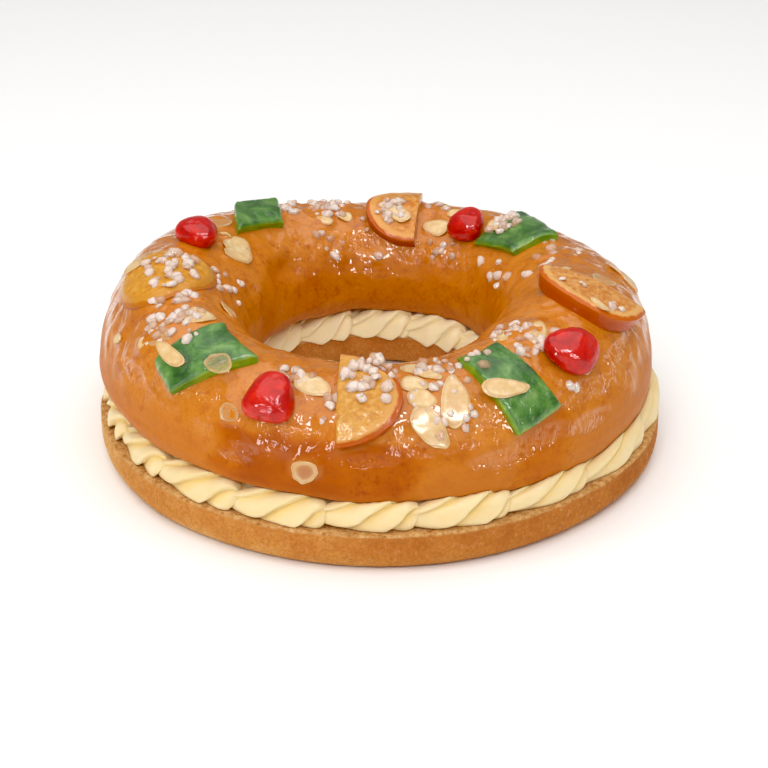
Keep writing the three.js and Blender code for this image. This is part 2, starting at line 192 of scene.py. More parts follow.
def finishPiece(name, bm, material, replaced=()):
    bmesh.ops.recalc_face_normals(bm, faces=bm.faces)
    bmesh.ops.scale(bm, vec=(mm, mm, mm), verts=bm.verts)
    for face in bm.faces:
        face.smooth = True
    mesh = bpy.data.meshes.new(name)
    bm.to_mesh(mesh)
    bm.free()
    mesh.materials.append(material)
    piece = bpy.data.objects.new(name, mesh)
    bpy.context.scene.collection.objects.link(piece)
    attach(piece, "root")
    if replaced:
        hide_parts(*replaced)
    print(name, len(mesh.polygons), "faces")
    return piece


# Materials.
def colour(value):  # linear, from an sRGB hex value, or a grey from a share
    if not isinstance(value, str):
        return (value, value, value, 1)
    channels = [int(value[i:i + 2], 16) / 255 for i in (1, 3, 5)]
    return [c / 12.92 if c <= 0.04045 else ((c + 0.055) / 1.055) ** 2.4 for c in channels] + [1]


def setInputs(tree, node, inputs):
    for name, value in inputs.items():
        if isinstance(value, bpy.types.NodeSocket):
            tree.links.new(value, node.inputs[name])
        else:
            node.inputs[name].default_value = colour(value) if isinstance(value, str) else value


# Adds a node and gives back its first output in use, or the one named. A name that starts with
# a capital is an input, any other is a setting, and stops are a ramp's places and tones.
def addNode(tree, kind, *numbered, output=None, stops=(), **named):
    node = tree.nodes.new("ShaderNode" + kind)
    inputs = dict(enumerate(numbered))
    for name, value in named.items():
        if name[0].isupper():
            inputs[name] = value
        else:
            setattr(node, name, value)
    setInputs(tree, node, inputs)
    if stops:
        elements = node.color_ramp.elements
        while len(elements) < len(stops):
            elements.new(1)
        for element, (position, value) in zip(elements, stops):
            element.position = position
            element.color = colour(value)
    return node.outputs[output] if output else next(one for one in node.outputs if one.enabled)


# A material, what adds its nodes, its place on the piece, and the vertex layers and noises that it
# reads, each noise given as its lump size in mm, detail and roughness.
def newMaterial(name, layers=(), noises=()):
    material = bpy.data.materials.new(name)
    material.use_nodes = True
    add = partial(addNode, material.node_tree)
    place = add("TexCoord", output="Object")
    read = [add("Attribute", output="Fac", attribute_name=layer) for layer in layers]
    made = [add("TexNoise", Vector=place, Scale=lumps(size), Detail=detail, Roughness=rough)
            for size, detail, rough in noises]
    return material, add, place, *read, *made


def finishMaterial(material, inputs):
    tree = material.node_tree
    setInputs(tree, tree.nodes["Principled BSDF"], inputs)
    return material


def lumps(size):  # a noise's scale, for lumps of about this many millimetres
    return 1 / (size * mm)


def tinted(add, under, tone, mask, *stops):  # a tone laid over a colour, by a mask's ramp
    share = add("ValToRGB", Fac=mask, stops=stops)
    return add("Mix", Factor=share, A=under, B=tone, data_type="RGBA")


# Sweet bread crust, egg-washed, baked brown and brushed with syrup: deep amber where it is wet,
# tan where the brush missed, and speckled brown where the bake caught. Low on the front it is
# darker, partly for its syrup and partly as painted shade, and low in the hole it is darker as
# painted shade. The clear wet coat waves with the skin, mirrors the lights with a crisp edge, and
# breaks them into small glints where it is rippled.
def makeGlazedCrust():
    (material, add, place, bakeAndPaintedShade, wet, shining, syrup, rippled,
     patches, blotches, fine, skin) = newMaterial(
        "sweetBreadCrustSyrupGlazed", crustLayers,
        ((22, 6, 0.62), (6, 4, 0.65), (1.5, 5, 0.72), (1.1, 3, 0.5)))
    # the bake's tone, with painted shade low on the front and low in the hole
    uneven = add("Math", patches, 0.9, bakeAndPaintedShade, operation="MULTIPLY_ADD")
    centred = add("Math", uneven, 0.45, operation="SUBTRACT")
    body = add("ValToRGB", Fac=centred, stops=(
        (0.0, "#d0832e"), (0.28, "#c47314"), (0.55, "#ba6205"), (0.75, "#aa5202"),
        (1.0, "#903e02")))
    body = tinted(add, body, "#a04c0c", fine, (0.4, 0.0), (0.75, 0.35))
    body = tinted(add, body, "#a44a0c", blotches, (0.48, 0.0), (0.78, 0.7))
    caught = 1  # specks, where blotches, fine grain and a strong bake or painted shade meet
    for mask, *stops in ((blotches, (0.54, 0.0), (0.7, 0.55)), (fine, (0.46, 0.0), (0.62, 1.0)),
                         (bakeAndPaintedShade, (0.2, 0.3), (0.6, 1.0))):
        share = add("ValToRGB", Fac=mask, stops=stops)
        caught = add("Math", caught, share, operation="MULTIPLY")
    body = add("Mix", Factor=caught, A=body, B="#80340a", data_type="RGBA")
    body = tinted(add, body, "#be6e24", wet, (0.0, 0.7), (0.8, 0.0))
    body = tinted(add, body, "#c07006", syrup, (0.1, 0.0), (0.9, 0.5))
    running = add("Mapping", Vector=place, Scale=(1, 1, 0.6))  # drawn out on the way down
    film, ripple = (
        add("TexNoise", Vector=running, Scale=lumps(size), Detail=1, Distortion=bent)
        for size, bent in ((12, 0.8), (5.5, 2)))
    gathered = add("Math", ripple, rippled, operation="MULTIPLY")
    waved = add("Bump", Height=film, Distance=2.2 * mm, Strength=0.8)
    return finishMaterial(material, {
        "Base Color": body, "Roughness": 0.5, "IOR": 1.45, "Specular IOR Level": 0.1,
        "Normal": add("Bump", Height=skin, Distance=0.03 * mm, Strength=0.6),
        "Coat Weight": shining, "Coat Roughness": 0.035, "Coat IOR": 1.45,
        "Coat Normal": add("Bump", Height=gathered, Distance=3 * mm, Strength=0.9, Normal=waved)})


# Sweet bread baked in a tray, unglazed: dry golden brown sides with a matt mottled skin, and pale
# open crumb where it was sliced.
def makeBakedBread():
    material, add, _, sliced, paleAndPaintedLight, patches, light, fine, coarse, pores = newMaterial(
        "sweetBreadSideBakedMatt", ("sliced", "paleAndPaintedLight"),
        ((14, 6, 0.65), (2.1, 3, 0.7), (1.3, 5, 0.75), (2.6, 5, 0.75), (1.2, 5, 0.75)))
    # paler towards the bottom, and painted light towards the left
    tone = add("Math", patches, 0.8, paleAndPaintedLight, operation="MULTIPLY_ADD")
    side = add("ValToRGB", Fac=tone, stops=(
        (0.25, "#ae6424"), (0.5, "#c67e38"), (0.75, "#d6964c"), (1.0, "#e8b874")))
    side = tinted(add, side, "#93501f", fine, (0.4, 0.0), (0.72, 0.6))
    side = tinted(add, side, "#e0b077", light, (0.55, 0.0), (0.8, 0.5))
    crumb = add("ValToRGB", Fac=coarse, stops=(
        (0.3, "#7a4a20"), (0.42, "#b98145"), (0.55, "#cfa066"), (0.75, "#e2c08a")))
    return finishMaterial(material, {
        "Base Color": add("Mix", Factor=sliced, A=side, B=crumb, data_type="RGBA"),
        "Roughness": 0.8, "IOR": 1.45, "Specular IOR Level": 0.15,
        "Normal": add("Bump", Height=pores, Distance=0.5 * mm, Strength=0.7)})


# Whipped custard cream piped from a star nozzle: soft and slightly moist, so light goes into it.
# Its creases are painted a deeper yellow as painted shade, and its tone is painted paler in the
# hole as painted light, where it is shaded.
def makePipedCream():
    material, add, place, paintedCreaseShade, cloud, drag = newMaterial(
        "custardCreamPiped", ("paintedCreaseShade",), ((9, 3, 0.5), (1.4, 3, 0.6)))
    tone = add("ValToRGB", Fac=cloud, stops=((0.3, "#edd39b"), (0.7, "#eedaa9")))
    # painted shade: a deeper yellow down in the creases between the ridges
    tone = tinted(add, tone, "#ecc972", paintedCreaseShade, (0.35, 0.0), (1.0, 0.8))
    # painted light: the cream is paler within about 60 to 75 mm of the middle, in the hole, where
    # the crust shades it
    flat = add("VectorMath", place, (1, 1, 0), operation="MULTIPLY")
    radius = add("VectorMath", flat, operation="LENGTH")
    tone = tinted(add, tone, "#fff0c8", radius, (60 * mm, 0.8), (75 * mm, 0.0))
    return finishMaterial(material, {
        "Base Color": tone, "Roughness": 0.4, "IOR": 1.44, "Specular IOR Level": 0.35,
        "Normal": add("Bump", Height=drag, Distance=0.12 * mm, Strength=0.5),
        "Subsurface Weight": 0.3, "Subsurface Radius": (0.005, 0.0035, 0.0015)})


# Candied cherry, boiled in syrup and drained: clear red flesh, clouded in places, wet skin.
def makeCandiedCherry():
    material, add, _, cloud, pucker = newMaterial(
        "cherryCandiedInSyrup", (), ((6, 4, 0.6), (2.6, 4, 0.6)))
    tone = add("ValToRGB", Fac=cloud, stops=((0.3, "#a20a02"), (0.5, "#c01203"), (0.72, "#d6280c")))
    return finishMaterial(material, {
        "Base Color": tone, "Roughness": 0.5, "IOR": 1.45, "Specular IOR Level": 0.1,
        "Normal": add("Bump", Height=pucker, Distance=0.5 * mm, Strength=0.6),
        "Subsurface Weight": 0.2, "Subsurface Radius": (0.005, 0.0008, 0.0004),
        "Coat Weight": 0.8, "Coat Roughness": 0.03,
        "Coat Normal": add("Bump", Height=pucker, Distance=0.35 * mm, Strength=0.6)})


# Melon candied in green syrup and cut in slabs: deep green and glassy on top with paler clouds
# inside, and brighter yellow-green at the cut edges, painted light for the light that comes
# through.
def makeCandiedMelon():
    material, add, place, cut = newMaterial("melonCandiedCutSlab", ("cut",))
    cloud, wrinkle = (
        add("TexNoise", Vector=place, Scale=lumps(size), Detail=5, Roughness=0.6, Distortion=bent)
        for size, bent in ((9, 0.4), (4, 0.6)))
    top = add("ValToRGB", Fac=cloud, stops=(
        (0.3, "#26481a"), (0.46, "#3c6a24"), (0.6, "#5c883a"), (0.78, "#94aa68")))
    # painted light: the cut edges are brighter, as if lit through
    edge = add("ValToRGB", Fac=cloud, stops=((0.3, "#3f7d10"), (0.7, "#8faa20")))
    return finishMaterial(material, {
        "Base Color": add("Mix", Factor=cut, A=top, B=edge, data_type="RGBA"),
        "Roughness": 0.35, "IOR": 1.45, "Specular IOR Level": 0.2,
        "Normal": add("Bump", Height=wrinkle, Distance=0.6 * mm, Strength=0.6),
        "Subsurface Weight": 0.2, "Subsurface Radius": (0.0015, 0.003, 0.0008),
        "Coat Weight": 0.9, "Coat Roughness": 0.07,
        "Coat Normal": add("Bump", Height=wrinkle, Distance=1 * mm, Strength=0.7)})


# Orange sliced across and candied: burnt-orange rind, a pale ring of pith inside it, and clear
# golden flesh in wedges between thin skins.
def makeCandiedOrange(name, flesh):
    material, add, _, rind, height, wobble, pulp, fine = newMaterial(
        name, ("rind", "height"), ((3, 3, 0.5), (2.4, 4, 0.6), (1.3, 3, 0.5)))
    uv = add("UVMap", uv_map="slice")
    out = add("VectorMath", uv, operation="LENGTH")
    ring = add("Math", wobble, 0.08, out, operation="MULTIPLY_ADD")
    along, across = (add("SeparateXYZ", Vector=uv, output=axis) for axis in "YX")
    angle = add("Math", along, across, operation="ARCTAN2")
    wedge = add("Math", angle, sliceLook["wedges"] / 2, operation="MULTIPLY")
    bent = add("Math", wobble, 1.2, wedge, operation="MULTIPLY_ADD")
    wave = add("Math", bent, operation="SINE")
    skin = add("Math", wave, operation="ABSOLUTE")
    face = add("ValToRGB", Fac=pulp, stops=(
        (0.3, flesh["dark"]), (0.5, flesh["mid"]), (0.72, flesh["light"])))
    face = tinted(add, face, flesh["pith"], skin, (0.0, 0.6), (0.35, 0.0))
    face = tinted(add, face, flesh["pith"], ring, (0.82, 0.0), (0.87, 1.0))
    face = tinted(add, face, flesh["rindTop"], ring, (0.95, 0.0), (0.985, 1.0))
    # painted shade and light: the rind's wall darker low down and lighter towards its top
    wall = add("ValToRGB", Fac=height, stops=((0.6, flesh["rind"]), (1.0, flesh["rindTop"])))
    return finishMaterial(material, {
        "Base Color": add("Mix", Factor=rind, A=face, B=wall, data_type="RGBA"),
        "Roughness": 0.35, "IOR": 1.45, "Specular IOR Level": 0.2,
        "Normal": add("Bump", Height=fine, Distance=0.3 * mm, Strength=0.6),
        "Subsurface Weight": 0.25, "Subsurface Radius": (0.004, 0.0016, 0.0004),
        "Coat Weight": 0.4, "Coat Roughness": 0.05,
        "Coat Normal": add("Bump", Height=wobble, Distance=0.8 * mm, Strength=0.7)})


# Almond, sliced thin and toasted: ivory and slightly clear with syrup, a tan line round the edge
# where the skin was, and brown in the middle of the most toasted ones.
def makeFlakedAlmond():
    material, add, _, toast, solid, grain = newMaterial(
        "almondFlakedToasted", ("toast", "solid"), ((3.2, 4, 0.6),))
    out = add("VectorMath", add("UVMap", uv_map="flake"), operation="LENGTH")
    body = add("ValToRGB", Fac=grain, stops=((0.3, "#deb67a"), (0.5, "#e6c48c"), (0.7, "#f0d8ac")))
    body = add("Mix", Factor=toast, A=body, B="#b87038", data_type="RGBA")
    ragged = add("Math", grain, 0.15, out, operation="MULTIPLY_ADD")
    edge = add("ValToRGB", Fac=ragged, stops=((0.8, 0.0), (0.96, 0.6), (1.0, 0.2)))
    rim = add("Math", edge, solid, operation="MULTIPLY")
    return finishMaterial(material, {
        "Base Color": add("Mix", Factor=rim, A=body, B="#b87c38", data_type="RGBA"),
        "Roughness": 0.4, "IOR": 1.45, "Specular IOR Level": 0.25, "Alpha": solid,
        "Normal": add("Bump", Height=grain, Distance=0.25 * mm, Strength=0.6),
        "Subsurface Weight": 0.3, "Subsurface Radius": (0.003, 0.002, 0.001),
        "Coat Weight": 0.6, "Coat Roughness": 0.12})


# Pearl sugar: pressed white sugar that took up some syrup, so it is milky and partly clear.
def makePearlSugar():
    material, add, _, soaked, grain = newMaterial(
        "sugarPressedPearls", ("soaked",), ((0.9, 2, 0.5),))
    return finishMaterial(material, {
        "Base Color": add("Mix", Factor=soaked, A="#e8d6ca", B="#dcb08c", data_type="RGBA"),
        "Roughness": 0.3, "IOR": 1.4, "Specular IOR Level": 0.3,
        "Normal": add("Bump", Height=grain, Distance=0.2 * mm, Strength=0.6),
        "Alpha": add("ValToRGB", Fac=soaked, stops=((0.0, 0.9), (1.0, 0.45))),
        "Subsurface Weight": 0.9, "Subsurface Radius": (0.004, 0.003, 0.0022),
        "Coat Weight": 0.6, "Coat Roughness": 0.1})


# Pale matt paper under the ring.
def makePaper():
    material = newMaterial("paperPaleMatt")[0]
    return finishMaterial(material, {
        "Base Color": "#fcfbf9", "Roughness": 0.9, "Specular IOR Level": 0.1})


# Lower half of the bread: a flat-topped ring with rounded feet. Its section goes up the outside,
# over the edge, along the cut face, over the other edge, down the hole, round the foot there,
# along the underside and round the outer foot, and "legs" is where each of these begins and ends.
base = {
    "stepsAround": 420, "rows": 84, "legs": (0.0, 0.16, 0.2, 0.44, 0.48, 0.54, 0.68, 0.84, 1.0),
    "footOutside": (8, 9), "footInside": (12, 12), "cutEdge": 0.9, "wobble": 0.8,
    "skinDeep": 0.35, "skinSize": 9,      # unevenness of the baked skin
    "tornIn": 0.315, "tornDown": 0.36, "tornSize": 4,  # and of the sliced face
    "slicedBelow": (1.6, 0.5), "slicedRagged": 0.5,  # where crumb begins, down from the cut
    "smoothFoot": (0.5, 3),  # heights between which the unevenness sets in
    # paler towards the bottom, and painted light towards the left and at its far left end: an
    # axis, from, to and by how much
    "paleAndPaintedLight": ((2, 11, 1, 0.25), (0, 60, -110, 0.25), (0, -100, -119, 0.3)),
}


def basePoint(around, share):  # radius and height at a share of the way round the section
    outer = bread["baseRadius"] - abs(
        base["wobble"] * math.sin(2 * around) * math.sin(3 * around + 1))
    inner = swing(bread["baseHole"], around)
    height, edge = bread["baseHeight"], base["cutEdge"]
    (outWide, outHigh), (inWide, inHigh) = base["footOutside"], base["footInside"]
    stops = base["legs"]
    leg = max(i for i, stop in enumerate(stops[:-1]) if share >= stop)
    part = (share - stops[leg]) / (stops[leg + 1] - stops[leg])
    turn = part * math.pi / 2
    if leg == 0:
        return outer, lerp(outHigh, height - edge, part)
    if leg == 1:
        return outer - edge * (1 - math.cos(turn)), height - edge * (1 - math.sin(turn))
    if leg == 2:
        return lerp(outer - edge, inner + edge, part), height
    if leg == 3:
        return inner + edge * (1 - math.sin(turn)), height - edge * (1 - math.cos(turn))
    if leg == 4:
        return inner, lerp(height - edge, inHigh, part)
    if leg == 5:
        return inner + inWide * (1 - math.cos(turn)), inHigh * (1 - math.sin(turn))
    if leg == 6:
        return lerp(inner + inWide, outer - outWide, part), 0
    return outer - outWide * (1 - math.sin(turn)), outHigh * (1 - math.cos(turn))


def makeBase(material):
    bm, rowOf = ringMesh(base["rows"], base["stepsAround"])
    sliced, paleAndPaintedLight = layersOf(bm, "sliced", "paleAndPaintedLight")
    crumbFrom, crumbTo = (bread["baseHeight"] - down for down in base["slicedBelow"])

    def moved(vert):
        around = math.atan2(vert.co.y, vert.co.x)
        radius, height = basePoint(around, vert[rowOf] / base["rows"])
        point = polar(radius, around, height)
        skin = base["skinDeep"] * noise.fractal(point / base["skinSize"], 1, 2, 3)
        torn = noise.fractal(point / base["tornSize"] + Vector((9, 0, 0)), 1, 2, 4)
        onCut = smooth(crumbFrom, crumbTo, height + base["slicedRagged"] * torn)
        vert[sliced] = onCut
        # paler towards the bottom, and painted light towards the left and at the far left end
        vert[paleAndPaintedLight] = sum(amount * smooth(low, high, point[axis])
                         for axis, low, high, amount in base["paleAndPaintedLight"])
        middle = (bread["baseRadius"] + swing(bread["baseHole"], around)) / 2
        away = 1 if radius > middle else -1
        inwards = abs(skin) + base["tornIn"] * onCut * abs(torn)
        return polar(radius - away * inwards * smooth(*base["smoothFoot"], height), around,
                     height - base["tornDown"] * onCut * abs(torn))

    moveAll(bm, moved)
    return finishPiece("baseBread", bm, material, ("base_bread",))


# How the upper half was glazed, in degrees round the ring and over the dome. Each band is none at
# its first value and full at its second, and its edge wanders by its third. Amber syrup ran down
# the front, and in one drip beside it, and the bake is darker there. The darker front low down is
# partly painted shade, and the darker wall low in the hole is painted shade.
glaze = {
    "wanderSize": 14, "amberAt": 259, "dripAt": 303, "wallAt": 90,
    "amberAround": (26, 16, 8), "amberOver": (34, 22, 8), "amberLow": (-30, -5, 0),
    "dripAround": (9, 5, 3), "dripOver": (45, 30, 0),
    "wallAround": (150, 60, 0), "wallOver": (128, 155, 8),
    "wetOver": (2, 30, 10), "shineOver": (13, 30, 16), "shineInHole": (178, 150, 0),
    "plainBake": 0.12, "amberAndPaintedShade": 0.75, "dripBake": 0.4, "holeWallPaintedShade": 0.32, "dull": 0.1,
}


def glazeAt(around, over, point):  # bake with painted shade, wet and shining there, 0 to 1, angles in degrees
    wander = noise.noise(point / glaze["wanderSize"])

    def band(name, value):
        none, full, sway = glaze[name]
        return smooth(none, full, value + sway * wander)

    amber = band("amberAround", apart(around, glaze["amberAt"]))
    drip = band("dripAround", apart(around, glaze["dripAt"])) * band("dripOver", over)
    wall = band("wallAround", apart(around, glaze["wallAt"])) * band("wallOver", over)
    # darker with the amber syrup low on the front, partly painted shade there, with the drip, and
    # low in the hole, which is painted shade
    dark = max(glaze["plainBake"], glaze["amberAndPaintedShade"] * amber * band("amberOver", over),
               glaze["dripBake"] * drip, glaze["holeWallPaintedShade"] * wall)
    wet = max(band("wetOver", over), amber * band("amberLow", over), drip)
    return dark, wet, lerp(glaze["dull"], 1, band("shineOver", over) * band("shineInHole", over))


# Upper half of the bread, with the skin that its glaze wrinkled. Syrup gathers round whatever
# lies on it, in a fillet "pooled" high and "reach" wide.
crustLayers = ("bakeAndPaintedShade", "wet", "shining", "syrup", "rippled")
crust = {
    "stepsAround": 480, "domeRows": 150, "tuckRows": 14, "cutRows": 5,
    "tuckOver": 40,                         # degrees past the widest lines to the cut
    "swellDeep": 0.7, "swellSize": 16,      # soft swells of the dough
    "wrinkleDeep": 0.55, "wrinkleSize": 7,  # set glaze
    # folds down the wall of the hole: many on the way round, few on the way down
    "foldDeep": 0.6, "foldOver": (118, 145), "foldsAround": 9, "foldsOver": 0.8,
    "calmest": 0.3, "inside": 0.3,          # least unevenness, and how far in the skin lies
    "pooled": 0.7, "reach": 1.8,
    # where the syrup rippled: around, over and size in degrees, and how strongly
    "rippled": (
        (241, 5, 5, 2), (244, 13, 5, 1.6), (252, 30, 10, 0.4), (231, 38, 10, 0.5),
        (222, 32, 10, 0.6), (210, 25, 9, 0.8), (268, 14, 8, 0.6), (281, 24, 12, 0.6),
        (294, 7, 9, 1.7), (303, 14, 11, 1.3), (316, 10, 9, 1.6), (322, 26, 10, 0.8),
        (291, 37, 9, 0.6), (313, 31, 10, 0.7), (332, 36, 9, 0.8), (340, 120, 9, 0.6),
        (98, 134, 12, 1), (74, 141, 13, 1), (54, 141, 12, 1), (135, 138, 12, 0.8),
        (110, 130, 10, 0.8), (163, 149, 5, 1)),
    "ripplesElsewhere": 0.12, "rippleCore": 0.4, "rippleShine": 0.9,
    # the throats at the left and right of the hole, from where they steepen, are calm and dull
    "steepOver": (95, 118), "steepSides": (0.55, 0.85), "steepDull": 0.7,
}


def ripplesAt(around, over):  # in degrees
    return max(
        strength * smooth(size, crust["rippleCore"] * size,
                          math.hypot(apart(around, zoneAround), over - zoneOver))
        for zoneAround, zoneOver, size, strength in crust["rippled"])


def belowDome(around, row, rows):  # radius, height and over of a row past the dome's last one
    past = row - crust["domeRows"]
    if past <= crust["tuckRows"]:
        share = past / crust["tuckRows"]
        return *tuck(around, share, -1), 180 + crust["tuckOver"] * share
    if past <= crust["tuckRows"] + crust["cutRows"]:
        share = (past - crust["tuckRows"]) / crust["cutRows"]
        (inner, height), (outer, other) = tuck(around, 1, -1), tuck(around, 1, 1)
        return lerp(inner, outer, share), lerp(height, other, share), -crust["tuckOver"]
    share = (rows - row) / crust["tuckRows"]
    return *tuck(around, share, 1), -crust["tuckOver"] * share


def makeCrust(material, toppings):
    rows = crust["domeRows"] + 2 * crust["tuckRows"] + crust["cutRows"]
    bm, rowOf = ringMesh(rows, crust["stepsAround"])
    bakeAndPaintedShade, wet, shining, syrup, rippled = layersOf(bm, *crustLayers)
    points = [vert.co / mm for topping in toppings for vert in topping.data.vertices]
    nearby = kdtree.KDTree(len(points))
    for number, point in enumerate(points):
        nearby.insert(point, number)
    nearby.balance()

    def moved(vert):
        around = math.atan2(vert.co.y, vert.co.x) % fullTurn
        aroundDegrees = math.degrees(around)
        if vert[rowOf] > crust["domeRows"]:
            radius, height, overDegrees = belowDome(around, vert[rowOf], rows)
            point = polar(radius, around, height)
            vert[bakeAndPaintedShade], vert[wet], vert[shining] = glazeAt(aroundDegrees, overDegrees, point)
            return point
        over = math.pi * vert[rowOf] / crust["domeRows"]
        overDegrees = math.degrees(over)
        plain = dome(around, over)
        vert[bakeAndPaintedShade], vert[wet], shine = glazeAt(aroundDegrees, overDegrees, plain)
        swell = crust["swellDeep"] * noise.fractal(plain / crust["swellSize"], 1, 2, 3)
        wrinkle = crust["wrinkleDeep"] * shine * noise.noise(plain / crust["wrinkleSize"])
        fold = crust["foldDeep"] * smooth(*crust["foldOver"], overDegrees) * noise.noise(
            Vector((around * crust["foldsAround"], over * crust["foldsOver"], 3)))
        pooled = math.exp(-(nearby.find(plain)[2] / crust["reach"]) ** 2)
        zone = ripplesAt(aroundDegrees, overDegrees)
        steep = smooth(*crust["steepOver"], overDegrees) * smooth(
            *crust["steepSides"], abs(math.cos(around)))
        vert[syrup] = pooled
        vert[rippled] = max(zone, crust["ripplesElsewhere"] * (1 - steep))
        vert[shining] = max(shine * (1 - crust["steepDull"] * steep), pooled,
                            crust["rippleShine"] * min(zone, 1))
        calm = max(math.sqrt(max(math.sin(over), 0)), crust["calmest"])
        return dome(around, over, (swell + fold) * calm + wrinkle
                    + crust["pooled"] * pooled - crust["inside"])

    moveAll(bm, moved)
    return finishPiece("glazedCrust", bm, material, ("top_bread",))


# Piped cream: shells laid one after another, each a star of soft ridges twisted from a thin tail
# to a fat head that covers the next one's tail. "heads" are where the heads end, in degrees
# around; each run goes the way its heads do, and its shells have "across" faces a ridge. The
# filling ends "back" from their edge.
creamOutside = {
    "heads": (-172, -156, -139, -119, -100, -82, -63, -43, -18, 3, 23, 43, 63, 83, 103, 124, 145,
              166),
    "edge": (118.5, 0, 0, 0, 0), "fat": 10, "middle": 22.8, "way": 1, "side": 1, "back": 9,
    "across": 13, "down": 44,
}
creamInHole = {
    "heads": (148, 123, 101, 76, 49, 25, 1, -23, -47, -71, -95, -119, -143, -167, 170),
    "edge": (55.6, -4.9, 0.2, 0, 0), "fat": 9.2, "middle": 22, "way": -1, "side": -1, "back": 8,
    "across": 12, "down": 34,
}
creamShell = {
    "ridges": 5, "groove": 0.3, "lipShare": 0.12, "lipFall": 1.7, "skew": 1.35,
    "twist": 170, "twistPower": 1.8, "tailShare": 0.5, "tailPower": 0.8, "headShare": 0.18,
    "overlap": 1.34, "rise": 2, "riseFrom": 0.7, "drop": 0.7, "fullness": 0.8, "seat": 0.6,
    "uneven": 0.1, "seed": 7, "gap": 0.2, "sag": 3.2, "sagFrom": 0.3, "wavy": 0.35, "waves": 9,
}
creamFilling = {"rows": 16, "stepsAround": 120, "gap": 0.25, "roundness": 0.35}


def ridgeShape(share):  # across one ridge: a lip at its lower edge, then falling away
    lip = creamShell["lipShare"]
    if share < lip:
        return smooth(0, lip, share)
    return 1 - ((share - lip) / (1 - lip)) ** creamShell["lipFall"]


def addShell(bm, run, start, end, draw):
    shell, side = creamShell, run["side"]
    size = 1 + shell["uneven"] * draw.uniform(-1, 1)
    turnBy, drop = draw.uniform(0, fullTurn), draw.uniform(-shell["drop"], shell["drop"])
    length = (end - start) * shell["overlap"]
    ball = ballMesh(shell["ridges"] * run["across"], run["down"])
    (paintedCreaseShade,) = layersOf(ball, "paintedCreaseShade")
    for vert in ball.verts:
        along = math.acos(max(-1, min(1, -vert.co.z))) / math.pi  # 0 at the tail, 1 at the head
        step = math.atan2(vert.co.y, vert.co.x) / fullTurn * shell["ridges"]
        share = (step % 1) ** shell["skew"]
        angle = (math.floor(step) + share) / shell["ridges"] * fullTurn + turnBy
        angle += math.radians(shell["twist"]) * along ** shell["twistPower"]
        tail = min(along / shell["tailShare"], 1) ** shell["tailPower"]
        nose = max(0, along - 1 + shell["headShare"]) / shell["headShare"]
        plump = tail * math.sqrt(max(0, 1 - nose * nose))
        ridge = ridgeShape(share)
        # how deep in a crease each point lies, for the crease's painted shade
        vert[paintedCreaseShade] = (1 - ridge) * tail
        around = math.radians(end - length + length * along)
        spread = run["fat"] * size * plump * (1 - shell["groove"] * (1 - ridge))
        spread += shell["wavy"] * plump * noise.noise(
            Vector((angle, around * shell["waves"], side * 4)))
        centre = swing(run["edge"], around) - side * run["fat"] * lerp(shell["seat"], 1, plump)
        radius = centre + side * spread * signedPower(math.cos(angle), shell["fullness"])
        height = (run["middle"] + drop + shell["rise"] * (along - shell["riseFrom"])
                  + spread * signedPower(math.sin(angle), shell["fullness"]))
        roof = underside(around, radius, side) - shell["gap"]
        floor = bread["baseHeight"] + shell["gap"]
        if side < 0:  # it sags over the edge of the hole
            past = swing(bread["baseHole"], around) + shell["sagFrom"] - radius
            floor -= min(max(past, 0), shell["sag"])
        vert.co = polar(radius, around, min(max(height, floor), roof))
    joinMesh(bm, ball)


def makeCream(material):
    draw = random.Random(creamShell["seed"])
    bm, rowOf = ringMesh(creamFilling["rows"], creamFilling["stepsAround"])
    layersOf(bm, "paintedCreaseShade")

    def filling(vert):  # what is between the rims, under the crust
        around = math.atan2(vert.co.y, vert.co.x)
        angle = vert[rowOf] / creamFilling["rows"] * fullTurn
        across, up = (signedPower(value, creamFilling["roundness"])
                      for value in (math.cos(angle), math.sin(angle)))
        low = bread["baseHeight"] + creamFilling["gap"]
        high = swing(bread["cut"], around) - creamFilling["gap"]
        inner, outer = (swing(run["edge"], around) - run["side"] * run["back"]
                        for run in (creamInHole, creamOutside))
        return polar((inner + outer) / 2 + (outer - inner) / 2 * across, around,
                     (low + high) / 2 + (high - low) / 2 * up)

    moveAll(bm, filling)
    for run in (creamOutside, creamInHole):
        heads, way = run["heads"], run["way"]
        for i, end in enumerate(heads):
            start = heads[i - 1]
            while way * (end - start) < 0:
                start -= way * 360
            addShell(bm, run, start, end, draw)
    return finishPiece("pipedCream", bm, material, ("piped_cream",))


# Candied cherries, soft enough to have been dented by their neighbours in the jar: each dent is
# a direction, a depth as a share of the radius, and a width in degrees.
cherries = (
    {"at": (162.5, 95), "size": (20, 18, 13), "turn": 20,
     "dents": (((0.3, -0.4, 0.9), 0.12, 30), ((-0.8, -0.5, 0.3), 0.1, 35))},
    {"at": (247, 49), "size": (21.5, 21.5, 13.5), "turn": 60,
     "dents": (((-0.87, -0.5, 0.2), 0.17, 34), ((-0.5, 0.87, 0.3), 0.13, 30),
               ((0.5, -0.87, 0.3), 0.08, 28), ((0.5, 0.3, 0.8), 0.1, 26),
               ((-0.6, 0.3, 0.7), 0.07, 12), ((-0.4, -0.5, 0.8), 0.07, 15))},
    {"at": (57.5, 112), "size": (17, 17, 13), "turn": 0,
     "dents": (((-0.2, -0.5, 0.8), 0.12, 30), ((0.9, 0.1, 0.4), 0.1, 35))},
    {"at": (317.5, 56), "size": (25, 20, 14), "turn": -20,
     "dents": (((-0.5, 0.3, 0.8), 0.13, 26), ((0.5, -0.2, 0.8), 0.12, 24),
               ((-0.3, -0.9, 0.3), 0.1, 35), ((0.9, 0.5, 0.3), 0.1, 30))},
)
cherryLook = {"lobes": (0.07, 0.05), "lift": 0.3, "hug": 0.2, "across": 56, "down": 36,
              "pucker": 0.035, "puckers": 2.6}


